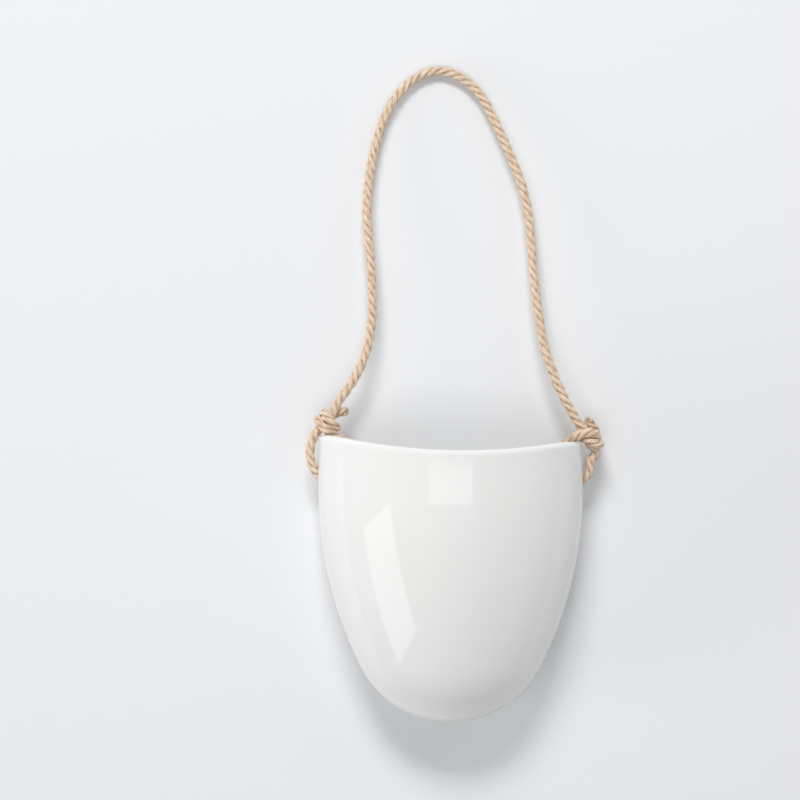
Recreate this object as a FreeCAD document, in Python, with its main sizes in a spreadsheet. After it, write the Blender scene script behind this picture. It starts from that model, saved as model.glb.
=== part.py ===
"""Wall planter: a white glazed half-egg pot hung on one knotted jute rope.

Everything is in millimetres, with +Z up, +X to the right and the wall on the
plane Y = 0. The origin is the hanging point: the spot on the wall hook where
the underside of the rope's crown rests. The pot hangs below it and stands off
the wall towards -Y.

The pot is a slip-cast shell. Seen from the front it has straight sides, long
flanks and a round nose; seen from above it is a half ellipse in front of its
side plane and a shallower, flattened one behind it. The rope runs from a hitch
on the left corner, up over the hook and down to a hitch on the right corner.
"""
import FreeCAD, Part
import Sketcher
import math
import os

V = FreeCAD.Vector

# Each row is an alias, a value and what it measures.
SIZES = [
    ("hang_drop", 203.4, "hanging point down to the lowest point of the rim"),
    ("pot_height", 144.6, "lowest point of the rim down to the nose"),
    ("pot_offset", 7.0, "pot's middle plane, right of the hanging point"),
    ("half_width", 70.8, "middle plane to the outside of a side wall"),
    ("flank_radius", 214.0, "radius of the flanks below the straight sides"),
    ("nose_radius", 54.0, "radius of the round bottom"),
    ("front_depth", 52.0, "side plane to the belly at the front"),
    ("back_depth", 34.0, "side plane to the back before it is flattened"),
    ("side_standoff", 22.0, "wall to the side plane"),
    ("wall_thickness", 4.5, "thickness of the fired wall"),
    ("blank_rise", 30.0, "extra height of the cast blank above the rim"),
    ("rim_radius", 305.0, "radius of the rim's dip"),
    ("rim_low_offset", 6.3, "lowest point of the rim, right of the middle"),
    ("rim_fall", 2.0, "angle by which the rim falls towards the wall"),
    ("lip_round", 1.9, "rounding of the lip"),
    ("back_round", 3.0, "rounding round the flat back, outside"),
    ("inner_back_round", 4.0, "rounding round the flat back, inside"),
    ("hole_standoff", 17.0, "wall to the middle of the rope holes"),
    ("left_hole_drop", 13.6, "lowest point of the rim down to the left hole"),
    ("right_hole_drop", 15.6, "lowest point of the rim down to the right hole"),
    ("hole_round", 0.8, "rounding of the rope holes' edges"),
    ("rope_diameter", 5.0, "thickness of the jute rope"),
    ("hole_clearance", 3.0, "rope hole wider than the rope by this much"),
    ("turn_clearance", 0.4, "room between a hitch's turns and what they go round"),
    ("bend_clearance", 0.3, "room between the free rope and a hitch"),
]

# Route of the free rope from the left hitch over the hook to the right hitch.
FREE_ROUTE = [
    (-53.8, -20.0, -176.9),
    (-46.9, -19.2, -168.3),
    (-40.2, -18.0, -156.2),
    (-35.9, -16.5, -141.5),
    (-34.6, -14.8, -122.5),
    (-36.0, -12.4, -98.5),
    (-38.4, -10.0, -73.0),
    (-36.8, -8.5, -56.2),
    (-34.1, -7.0, -40.6),
    (-29.5, -5.5, -24.8),
    (-23.3, -4.4, -12.8),
    (-13.5, -3.4, -1.8),
    (0.0, -2.8, 3.8),
    (14.1, -3.3, -0.9),
    (24.0, -4.2, -10.6),
    (31.0, -5.4, -24.2),
    (38.8, -7.0, -41.7),
    (45.9, -8.5, -59.1),
    (49.6, -10.2, -77.5),
    (51.0, -12.1, -98.1),
    (53.1, -14.2, -121.8),
    (56.7, -16.4, -145.0),
    (61.2, -17.8, -159.6),
    (65.9, -18.8, -170.6),
    (70.4, -19.6, -179.4),
]

# Each hitch runs on from the free rope down its core, over the rim's corner and
# down outside the pot, in through the hole, up inside, and then over the rim
# again in turns round its own core. The left hitch's turns climb, the right
# hitch's wind down and its tail comes up behind them.
LEFT_CORE = [
    (-55.7, -20.5, -183.5),
    (-59.6, -20.3, -188.7),
    (-65.4, -19.8, -192.0),
    (-68.3, -19.6, -197.0),
    (-69.0, -18.9, -203.5),
    (-67.9, -18.0, -209.7),
    (-65.4, -17.3, -214.6),
]
LEFT_THROUGH = [
    (-61.6, -17.0, -217.6),
    (-55.6, -17.0, -215.2),
]
LEFT_INSIDE = [
    (-52.6, -17.4, -208.5),
    (-50.1, -19.0, -202.3),
    (-50.9, -21.6, -197.8),
]
LEFT_TURNS = [
    (-55.9, -24.6, -194.3),
    (-59.2, -26.1, -191.3),
    (-62.8, -25.6, -187.6),
    (-64.8, -22.0, -184.8),
    (-63.8, -17.1, -184.8),
    (-59.9, -14.4, -187.1),
    (-55.8, -15.2, -189.7),
    (-53.0, -18.7, -190.8),
    (-52.9, -23.1, -189.7),
    (-55.2, -26.2, -186.5),
    (-58.9, -25.7, -183.4),
    (-61.0, -21.9, -180.9),
    (-60.0, -17.0, -180.7),
    (-55.8, -14.4, -182.2),
]
LEFT_KNOT = (-58.8, -20.3, -187.3)
LEFT_TAIL = [
    (-51.3, -15.2, -182.3),
    (-47.2, -17.2, -182.0),
]

RIGHT_CORE = [
    (75.7, -19.0, -186.9),
    (79.5, -18.6, -193.0),
    (81.0, -19.5, -198.3),
    (83.3, -19.4, -201.9),
    (84.4, -19.3, -204.7),
    (83.4, -18.9, -207.8),
    (82.8, -18.3, -211.9),
    (81.2, -17.6, -216.2),
]
RIGHT_THROUGH = [
    (76.4, -17.0, -219.2),
    (70.2, -17.0, -217.4),
]
RIGHT_INSIDE = [
    (66.6, -17.4, -211.0),
    (65.6, -19.3, -204.6),
    (67.1, -22.3, -199.6),
]
RIGHT_TURNS = [
    (70.3, -25.7, -196.0),
    (74.9, -28.9, -192.9),
    (80.5, -28.9, -191.4),
    (84.8, -25.4, -192.0),
    (86.1, -20.3, -193.6),
    (84.7, -15.5, -194.4),
    (80.8, -13.1, -195.0),
    (76.1, -14.2, -194.7),
    (73.5, -18.1, -194.5),
    (74.6, -22.3, -194.0),
    (78.4, -24.2, -194.2),
    (82.1, -24.8, -197.3),
    (86.0, -23.7, -198.4),
    (88.1, -19.6, -198.9),
    (88.0, -14.1, -198.5),
]
RIGHT_KNOT = (80.3, -20.2, -194.6)
RIGHT_TAIL = [
    (87.0, -10.3, -195.7),
    (85.2, -9.9, -192.0),
    (82.8, -12.0, -188.9),
    (80.2, -14.4, -186.3),
]

# The turns are drawn for this rope and clearance; others spread them in share.
DRAWN_SPACING = 5.4

# An arc of a tube takes this share of the shorter run beside it.
ARC_SHARE = 0.45

# Edges within NEAR of a surface lie on it, and ones under SHORT_EDGE are poles.
NEAR = 1e-3
SHORT_EDGE = 1e-2
FINE = 1e-7
COARSE = 1e-5

# A tube's own turns are further apart along its middle than this many diameters.
TURN_APART = 2.4
SPOT_STEP = 0.5


def make_sheet(doc):
    """Write the driving dimensions into a spreadsheet and return it."""
    sheet = doc.addObject("Spreadsheet::Sheet", "sizes")
    for row, (alias, value, note) in enumerate(SIZES, start=1):
        sheet.set(f"A{row}", note)
        sheet.set(f"B{row}", str(value))
        sheet.setAlias(f"B{row}", alias)
    doc.recompute()
    return sheet


def bind(item, links):
    """Bind properties of an object to expressions on the sheet."""
    for name, expression in links.items():
        item.setExpression(name, expression)


def origin_feature(body, role):
    """Return a body's own origin plane or axis."""
    for feature in body.Origin.OriginFeatures:
        if feature.Role == role:
            return feature
    raise ValueError(role)


def add_form(doc, sheet, label, shrink):
    """Add half of the pot's round form: its outline turned about its middle line.

    The outline starts at the nose, on the middle line at height zero, and is
    a nose arc, a flank arc and a straight side, each tangent to the next.
    shrink is the sheet's alias of what comes off all round, or None.
    """
    less = f" - sizes.{shrink}" if shrink else ""
    inset = getattr(sheet, shrink) if shrink else 0.0
    half_width = sheet.half_width - inset
    flank_radius = sheet.flank_radius - inset
    nose_radius = sheet.nose_radius - inset
    top = sheet.pot_height + sheet.blank_rise
    nose_centre = V(0, inset + nose_radius, 0)
    flank_x = half_width - flank_radius
    rise = math.sqrt((flank_radius - nose_radius) ** 2 - flank_x ** 2)
    flank_centre = V(flank_x, nose_centre.y + rise, 0)
    joint_angle = math.atan2(-rise, -flank_x)

    body = doc.addObject("PartDesign::Body", label)
    sketch = body.newObject("Sketcher::SketchObject", label + "_outline")
    sketch.AttachmentSupport = [(origin_feature(body, "XZ_Plane"), "")]
    sketch.MapMode = "FlatFace"
    bottom = V(0, inset, 0)
    joint = nose_centre + V(math.cos(joint_angle), math.sin(joint_angle), 0) * nose_radius
    side_low = V(half_width, flank_centre.y, 0)
    side_high = V(half_width, top, 0)
    axis_high = V(0, top, 0)
    normal = V(0, 0, 1)
    nose_circle = Part.Circle(nose_centre, normal, nose_radius)
    flank_circle = Part.Circle(flank_centre, normal, flank_radius)
    nose = sketch.addGeometry(Part.ArcOfCircle(nose_circle, -math.pi / 2, joint_angle))
    flank = sketch.addGeometry(Part.ArcOfCircle(flank_circle, joint_angle, 0))
    side = sketch.addGeometry(Part.LineSegment(side_low, side_high))
    lid = sketch.addGeometry(Part.LineSegment(side_high, axis_high))
    axis = sketch.addGeometry(Part.LineSegment(axis_high, bottom))
    fix = Sketcher.Constraint
    start, end, centre = 1, 2, 3
    sketch.addConstraint([
        fix("Tangent", nose, end, flank, start),
        fix("Tangent", flank, end, side, start),
        fix("Coincident", side, end, lid, start),
        fix("Coincident", lid, end, axis, start),
        fix("Coincident", axis, end, nose, start),
        fix("Vertical", side),
        fix("Horizontal", lid),
        fix("PointOnObject", lid, end, -2),
        fix("PointOnObject", nose, centre, -2),
    ])
    sized = [
        ("Radius", (nose,), nose_radius, "nose", f"sizes.nose_radius{less}"),
        ("Radius", (flank,), flank_radius, "flank", f"sizes.flank_radius{less}"),
        ("DistanceX", (-1, 1, side, start), half_width, "width", f"sizes.half_width{less}"),
        ("DistanceY", (-1, 1, lid, end), top, "top", "sizes.pot_height + sizes.blank_rise"),
    ]
    if shrink:
        sketch.addConstraint(fix("PointOnObject", nose, start, -2))
        sized.append(("DistanceY", (-1, 1, nose, start), inset, "floor", f"sizes.{shrink}"))
    else:
        sketch.addConstraint(fix("Coincident", nose, start, -1, 1))
    for kind, where, value, name, expression in sized:
        index = sketch.addConstraint(fix(kind, *where, value))
        sketch.renameConstraint(index, name)
        sketch.setExpression(f"Constraints.{name}", expression)
    turned = body.newObject("PartDesign::Revolution", label + "_turned")
    turned.Profile = sketch
    turned.ReferenceAxis = (sketch, ["V_Axis"])
    turned.Angle = 180
    doc.recompute()
    return body


def squashed_half(form, depth, half_width, side):
    """Return a half form squashed front to back, in front of or behind the side plane.

    depth is what half_width becomes from front to back. side is -1 for the
    half in front of the side plane and 1 for the half behind it.
    """
    half = form.copy()
    if half.BoundBox.Center.y * side < 0:
        half.rotate(V(0, 0, 0), V(0, 0, 1), 180)
    matrix = FreeCAD.Matrix()
    matrix.scale(1, depth / half_width, 1)
    squashed = half.transformGeometry(matrix)
    # Squashing can leave the tip of the nose open by a hair, which this closes.
    squashed.fix(FINE, FINE, COARSE)
    return squashed


def add_pouch(doc, sheet, label, form, inset):
    """Add a pot form with a half-ellipse front and a flattened back.

    inset is how far this form lies inside the pot's outside.
    """
    half_width = sheet.half_width - inset
    front = squashed_half(form.Shape, sheet.front_depth - inset, half_width, -1)
    back = squashed_half(form.Shape, sheet.back_depth - inset, half_width, 1)
    reach = form.Shape.BoundBox.XLength
    flat = sheet.side_standoff - inset
    beyond_flat = Part.makeBox(2 * reach, reach, 2 * reach, V(-reach, flat, -reach / 2))
    pouch = doc.addObject("Part::Feature", label)
    pouch.Shape = front.fuse(back).cut(beyond_flat)
    nose_z = -(sheet.hang_drop + sheet.pot_height)
    place = V(sheet.pot_offset, -sheet.side_standoff, nose_z)
    pouch.Placement = FreeCAD.Placement(place, FreeCAD.Rotation())
    return pouch


def samples(edge):
    """Return a few points along an edge."""
    span = edge.LastParameter - edge.FirstParameter
    shares = (0.0, 0.3, 0.5, 0.8, 1.0)
    return [edge.valueAt(edge.FirstParameter + span * share) for share in shares]


def add_fillet(doc, label, base, radius, is_wanted):
    """Round the edges of base that is_wanted picks by the points along them."""
    doc.recompute()
    chosen = []
    for index, edge in enumerate(base.Shape.Edges, start=1):
        if edge.Length > SHORT_EDGE and is_wanted(samples(edge)):
            chosen.append((index, radius, radius))
    if not chosen:
        raise ValueError(f"{label}: no edge to round")
    fillet = doc.addObject("Part::Fillet", label)
    fillet.Base = base
    fillet.Edges = chosen
    return fillet


def add_cut(doc, label, base, tool):
    """Cut one object with another."""
    cut = doc.addObject("Part::Cut", label)
    cut.Base = base
    cut.Tool = tool
    return cut


def add_cylinder(doc, label, radius, height, start, direction):
    """Add a cylinder that runs from start along direction."""
    cylinder = doc.addObject("Part::Cylinder", label)
    bind(cylinder, {"Radius": radius, "Height": height})
    cylinder.Placement = FreeCAD.Placement(start, FreeCAD.Rotation(V(0, 0, 1), direction))
    return cylinder


def on_cylinder(start, direction, radius):
    """Return a test for edges that lie on a cylinder's side."""
    def is_on(points):
        reaches = [(point - start).cross(direction).Length for point in points]
        return all(abs(reach - radius) < NEAR for reach in reaches)
    return is_on


def add_rounded_pouch(doc, sheet, name, shrink, back_round):
    """Add one side of the pot's wall, with the edge round its flat back rounded."""
    inset = getattr(sheet, shrink) if shrink else 0.0
    form = add_form(doc, sheet, name + "_form", shrink)
    pouch = add_pouch(doc, sheet, name + "_pouch", form, inset)
    lid_z = sheet.blank_rise - sheet.hang_drop

    def is_back_edge(points):
        on_flat = all(abs(point.y + inset) < NEAR for point in points)
        return on_flat and min(point.z for point in points) < lid_z - NEAR

    return add_fillet(doc, name + "_rounded", pouch, back_round, is_back_edge)


def add_planter(doc, sheet):
    """Add the pot: a hollow pouch, trimmed to its rim, with two rope holes."""
    outer = add_rounded_pouch(doc, sheet, "outer", None, sheet.back_round)
    inner = add_rounded_pouch(doc, sheet, "inner", "wall_thickness", sheet.inner_back_round)
    blank = add_cut(doc, "blank", outer, inner)

    # The rim is cut by a wide cylinder that lies across the pot above it.
    fall = math.radians(sheet.rim_fall)
    forward = V(0, -math.cos(fall), math.sin(fall))
    upward = V(0, math.sin(fall), math.cos(fall))
    low_x = sheet.pot_offset + sheet.rim_low_offset
    low = V(low_x, -sheet.side_standoff, -sheet.hang_drop)
    start = low + upward * sheet.rim_radius - forward * sheet.rim_radius
    trim = add_cylinder(doc, "rim_trim", "sizes.rim_radius", "2 * sizes.rim_radius", start, forward)
    trimmed = add_cut(doc, "trimmed", blank, trim)
    is_rim = on_cylinder(start, forward, sheet.rim_radius)
    lipped = add_fillet(doc, "lipped", trimmed, sheet.lip_round, is_rim)

    hole_radius = (sheet.rope_diameter + sheet.hole_clearance) / 2
    drilled = lipped
    tests = []
    for name, drop, heading in (
        ("left", sheet.left_hole_drop, V(-1, 0, 0)),
        ("right", sheet.right_hole_drop, V(1, 0, 0)),
    ):
        start = V(sheet.pot_offset, -sheet.hole_standoff, -sheet.hang_drop - drop)
        radius = "(sizes.rope_diameter + sizes.hole_clearance) / 2"
        drill = add_cylinder(doc, name + "_drill", radius, "sizes.half_width * 2", start, heading)
        drilled = add_cut(doc, name + "_drilled", drilled, drill)
        tests.append(on_cylinder(start, heading, hole_radius))

    def is_hole_edge(points):
        across = max((a - b).Length for a in points for b in points)
        return across > NEAR and any(test(points) for test in tests)

    def is_hole_rim(points):
        spread = max(point.x for point in points) - min(point.x for point in points)
        return is_hole_edge(points) and spread < sheet.wall_thickness / 2

    return add_fillet(doc, "planter", drilled, sheet.hole_round, is_hole_rim)


def tube_path(points):
    """Return a wire of straight runs joined by tangent arcs, and the arcs' radii."""
    edges = []
    radii = []
    start = points[0]
    for before, corner, after in zip(points, points[1:], points[2:]):
        back = before - corner
        ahead = after - corner
        shorter = min(back.Length, ahead.Length)
        back.normalize()
        ahead.normalize()
        half_turn = (math.pi - back.getAngle(ahead)) / 2
        reach = ARC_SHARE * shorter
        radius = reach / math.tan(half_turn)
        inward = (back + ahead).normalize()
        middle = corner + inward * (radius / math.cos(half_turn) - radius)
        arc_start = corner + back * reach
        arc_end = corner + ahead * reach
        edges.append(Part.LineSegment(start, arc_start).toShape())
        edges.append(Part.Arc(arc_start, middle, arc_end).toShape())
        radii.append(radius)
        start = arc_end
    edges.append(Part.LineSegment(start, points[-1]).toShape())
    return Part.Wire(edges), radii


def rope_tube(name, points, diameter):
    """Return a plain tube along points, and print its radii, length and volume."""
    path, radii = tube_path(points)
    circle = Part.Circle(points[0], points[1] - points[0], diameter / 2)
    tube = path.makePipeShell([Part.Wire(circle.toShape())], True, False)
    print(name, "radii", [round(radius, 1) for radius in radii])
    section = math.pi * diameter ** 2 / 4
    share = tube.Volume / (section * path.Length)
    print(name, f"length {path.Length:.1f} volume share {share:.4f}")
    return tube, path


def turn_points(turns, knot, spacing):
    """Return the points of a hitch's turns, spread from its middle to suit the rope."""
    middle = V(*knot)
    return [middle + (V(*point) - middle) * (spacing / DRAWN_SPACING) for point in turns]


def least_gap_to_itself(path, diameter):
    """Return the least gap between a tube's turns, from points along its middle."""
    count = int(path.Length / SPOT_STEP)
    spots = path.discretize(Number=count)
    skip = math.ceil(TURN_APART * diameter / SPOT_STEP)
    least = min(
        (spots[i] - spots[j]).Length
        for i in range(count)
        for j in range(i + skip, count)
    )
    return least - diameter


def add_hitch(doc, sheet, name, joint, core, through, inside, turns, knot, tail):
    """Add one end of the rope: from the free rope to the cut tail."""
    diameter = sheet.rope_diameter
    downward = (V(*core[0]) - joint).normalize()
    start = joint + downward * (diameter / 2 + sheet.bend_clearance)
    spacing = diameter + sheet.turn_clearance
    points = [start] + [V(*point) for point in core + through + inside]
    points += turn_points(turns, knot, spacing) + [V(*point) for point in tail]
    tube, path = rope_tube(name, points, diameter)
    print(name, f"least gap to itself {least_gap_to_itself(path, diameter):.2f}")
    hitch = doc.addObject("Part::Feature", name)
    hitch.Shape = tube
    return hitch


def add_free_rope(doc, sheet):
    """Add the free rope, with round ends that the hitches turn about."""
    points = [V(*point) for point in FREE_ROUTE]
    tube, _ = rope_tube("free_rope", points, sheet.rope_diameter)
    for end in (points[0], points[-1]):
        tube = tube.fuse(Part.makeSphere(sheet.rope_diameter / 2, end))
    rope = doc.addObject("Part::Feature", "free_rope")
    rope.Shape = tube
    return rope


def check(doc, parts):
    """Stop if any object failed or any sub-part is not a sound solid."""
    doc.recompute()
    for item in doc.Objects:
        if "Invalid" in item.State or "Error" in item.State:
            raise RuntimeError(f"{item.Label}: {item.State}")
    for part in parts:
        shape = part.Shape
        if shape.isNull() or not shape.isValid() or len(shape.Solids) != 1:
            raise RuntimeError(f"{part.Label}: unsound shape")
        print(part.Label, f"volume {shape.Volume:.0f}")


def print_gaps(parts):
    """Print the least distance between each two sub-parts."""
    for index, one in enumerate(parts):
        for other in parts[index + 1:]:
            gap = one.Shape.distToShape(other.Shape)[0]
            print(f"{one.Label} to {other.Label}: {gap:.2f}")


def main():
    """Build the wall planter and write one file for each sub-part."""
    doc = FreeCAD.newDocument("wall_planter")
    sheet = make_sheet(doc)
    parts = [
        add_planter(doc, sheet),
        add_hitch(
            doc, sheet, "left_hitch", V(*FREE_ROUTE[0]), LEFT_CORE, LEFT_THROUGH,
            LEFT_INSIDE, LEFT_TURNS, LEFT_KNOT, LEFT_TAIL,
        ),
        add_hitch(
            doc, sheet, "right_hitch", V(*FREE_ROUTE[-1]), RIGHT_CORE, RIGHT_THROUGH,
            RIGHT_INSIDE, RIGHT_TURNS, RIGHT_KNOT, RIGHT_TAIL,
        ),
        add_free_rope(doc, sheet),
    ]
    check(doc, parts)
    print_gaps(parts)
    os.makedirs("parts", exist_ok=True)
    for part in parts:
        part.Shape.exportStep(f"parts/{part.Label}.step")


main()
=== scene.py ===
import logging
import math
import random
from dataclasses import dataclass, field
from enum import Enum

import bmesh
import bpy
import numpy as np
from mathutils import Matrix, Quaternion, Vector, noise


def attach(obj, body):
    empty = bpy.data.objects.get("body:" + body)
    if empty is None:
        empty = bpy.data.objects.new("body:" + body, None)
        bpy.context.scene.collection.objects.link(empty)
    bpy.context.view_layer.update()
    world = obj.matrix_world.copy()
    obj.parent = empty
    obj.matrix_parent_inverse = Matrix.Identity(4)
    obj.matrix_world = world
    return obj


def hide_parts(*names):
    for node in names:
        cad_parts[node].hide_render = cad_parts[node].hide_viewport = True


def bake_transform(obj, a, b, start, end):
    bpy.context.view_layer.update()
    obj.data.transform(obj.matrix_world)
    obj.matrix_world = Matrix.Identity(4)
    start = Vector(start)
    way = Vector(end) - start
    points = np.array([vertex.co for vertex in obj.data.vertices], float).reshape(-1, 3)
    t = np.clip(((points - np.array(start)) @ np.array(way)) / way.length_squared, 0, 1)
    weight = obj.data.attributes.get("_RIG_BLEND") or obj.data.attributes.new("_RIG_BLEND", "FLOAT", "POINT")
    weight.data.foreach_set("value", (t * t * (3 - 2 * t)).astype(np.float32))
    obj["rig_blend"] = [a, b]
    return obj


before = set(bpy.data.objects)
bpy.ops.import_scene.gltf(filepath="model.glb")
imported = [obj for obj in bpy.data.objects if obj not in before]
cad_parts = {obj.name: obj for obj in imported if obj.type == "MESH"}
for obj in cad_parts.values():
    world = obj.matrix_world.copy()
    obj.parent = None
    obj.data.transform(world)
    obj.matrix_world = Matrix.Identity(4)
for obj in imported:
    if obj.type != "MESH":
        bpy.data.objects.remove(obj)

LOG = logging.getLogger("wall_planter")

MM = 0.001
NEAR = 1e-6  # metres
TINY = 1e-12

Point = tuple[float, float, float]
Feed = bpy.types.NodeSocket | float | tuple[float, ...]  # what a shader input takes


class Side(Enum):
    """The side of the pot that a hole and its hitch are on, as seen from the room."""

    LEFT = -1
    RIGHT = 1


class Edges(Enum):
    """The sets of sharp edges on the thickened pot."""

    LIP_OUT = "outside of the lip"
    LIP_IN = "inside of the lip"
    HOLES = "rope holes"


class Reach(Enum):
    """What a lamp is there for: to light things, or only to be mirrored in the glaze."""

    LIGHTS = "lights"
    MIRRORED = "mirrored"


# ---------------------------------------------------------------- small tools


def linear(hex_colour: str) -> tuple[float, float, float, float]:
    """Turn an sRGB hex colour into linear light.

    Args:
        hex_colour: the colour as "#rrggbb".

    Returns:
        Red, green, blue and an alpha of 1, as a shader socket takes them.
    """
    shares = [int(hex_colour[i : i + 2], 16) / 255 for i in (1, 3, 5)]
    light = [
        s / 12.92 if s <= 0.04045 else ((s + 0.055) / 1.055) ** 2.4 for s in shares
    ]
    return (light[0], light[1], light[2], 1.0)


def add_node(
    tree: bpy.types.NodeTree,
    kind: str,
    settings: dict | None = None,
    inputs: dict | None = None,
) -> bpy.types.Node:
    """Add one node with its settings and its links.

    Args:
        tree: the node tree that it goes into.
        kind: the node's type, such as "ShaderNodeTexNoise".
        settings: the node's own settings by name.
        inputs: what each input takes, by socket name or number: an output
            socket to link from, or a value.

    Returns:
        The new node.
    """
    node = tree.nodes.new(kind)
    for name, value in (settings or {}).items():
        setattr(node, name, value)
    for key, value in (inputs or {}).items():
        if isinstance(value, bpy.types.NodeSocket):
            tree.links.new(value, node.inputs[key])
        else:
            node.inputs[key].default_value = value
    return node


def lumps(
    tree: bpy.types.NodeTree,
    place: Feed,
    size: float,
    detail: float,
    roughness: float = 0.5,
) -> Feed:
    """Add a cloudy pattern.

    Args:
        tree: the node tree.
        place: the coordinates that it reads.
        size: how large its clouds are, in the coordinates' own unit.
        detail: how many finer layers it has.
        roughness: how strong those are.

    Returns:
        The pattern, about 0 to 1.
    """
    inputs = {
        "Vector": place,
        "Scale": 1 / size,
        "Detail": detail,
        "Roughness": roughness,
    }
    return add_node(tree, "ShaderNodeTexNoise", inputs=inputs).outputs["Fac"]


def reckon(
    tree: bpy.types.NodeTree, operation: str, *values: Feed, clamp: bool = False
) -> Feed:
    """Work out one sum, such as "MULTIPLY", on numbers or sockets."""
    settings = {"operation": operation, "use_clamp": clamp}
    node = add_node(tree, "ShaderNodeMath", settings, dict(enumerate(values)))
    return node.outputs[0]


def ramp(
    tree: bpy.types.NodeTree,
    value: Feed,
    start: float,
    end: float,
    low: float = 0.0,
    high: float = 1.0,
) -> Feed:
    """Map a value that goes from start to end on to low to high, and no further."""
    inputs = {0: value, 1: start, 2: end, 3: low, 4: high}
    return add_node(tree, "ShaderNodeMapRange", inputs=inputs).outputs[0]


def mix(tree: bpy.types.NodeTree, share: Feed, first: Feed, second: Feed) -> Feed:
    """Mix two colours, with a share of the second."""
    inputs = {0: share, 6: first, 7: second}
    return add_node(tree, "ShaderNodeMix", {"data_type": "RGBA"}, inputs).outputs[2]


def bumped(tree: bpy.types.NodeTree, height: Feed, depth: float, **over: Feed) -> Feed:
    """Turn a pattern into a bump of a depth, over a Normal if one is given."""
    inputs = {"Height": height, "Distance": depth, **over}
    return add_node(tree, "ShaderNodeBump", inputs=inputs).outputs["Normal"]


def start_material(name: str) -> tuple[bpy.types.Material, bpy.types.NodeTree]:
    """Start a material with an empty node tree.

    Args:
        name: what the material is.

    Returns:
        The material and its tree.
    """
    material = bpy.data.materials.new(name)
    material.use_nodes = True
    material.node_tree.nodes.clear()
    return material, material.node_tree


def end_material(tree: bpy.types.NodeTree, shader: bpy.types.Node) -> None:
    """Let a shader be what the material shows."""
    inputs = {"Surface": shader.outputs[0]}
    add_node(tree, "ShaderNodeOutputMaterial", inputs=inputs)


def deselect_all() -> None:
    """Leave object mode with nothing selected, because an operator takes all that is."""
    if bpy.context.object and bpy.context.object.mode != "OBJECT":
        bpy.ops.object.mode_set(mode="OBJECT")
    bpy.ops.object.select_all(action="DESELECT")


def select_only(piece: bpy.types.Object) -> None:
    """Make one object the only selected one, and the active one."""
    deselect_all()
    piece.select_set(True)
    bpy.context.view_layer.objects.active = piece


def settle(piece: bpy.types.Object) -> None:
    """Put an object's place, turn and scale into its mesh, so that it sits at the origin."""
    select_only(piece)
    bpy.ops.object.transform_apply(location=True, rotation=True, scale=True)


def smooth_least(a: float, b: float, reach: float) -> float:
    """Give the lesser of two numbers, rounded over where they are within reach.

    Args:
        a: one number.
        b: the other.
        reach: how near they are where the rounding starts.

    Returns:
        The rounded lesser one.
    """
    share = min(max(0.5 + 0.5 * (b - a) / reach, 0.0), 1.0)
    return b + (a - b) * share - reach * share * (1 - share)


# ------------------------------------------------------------------- finishes


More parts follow.
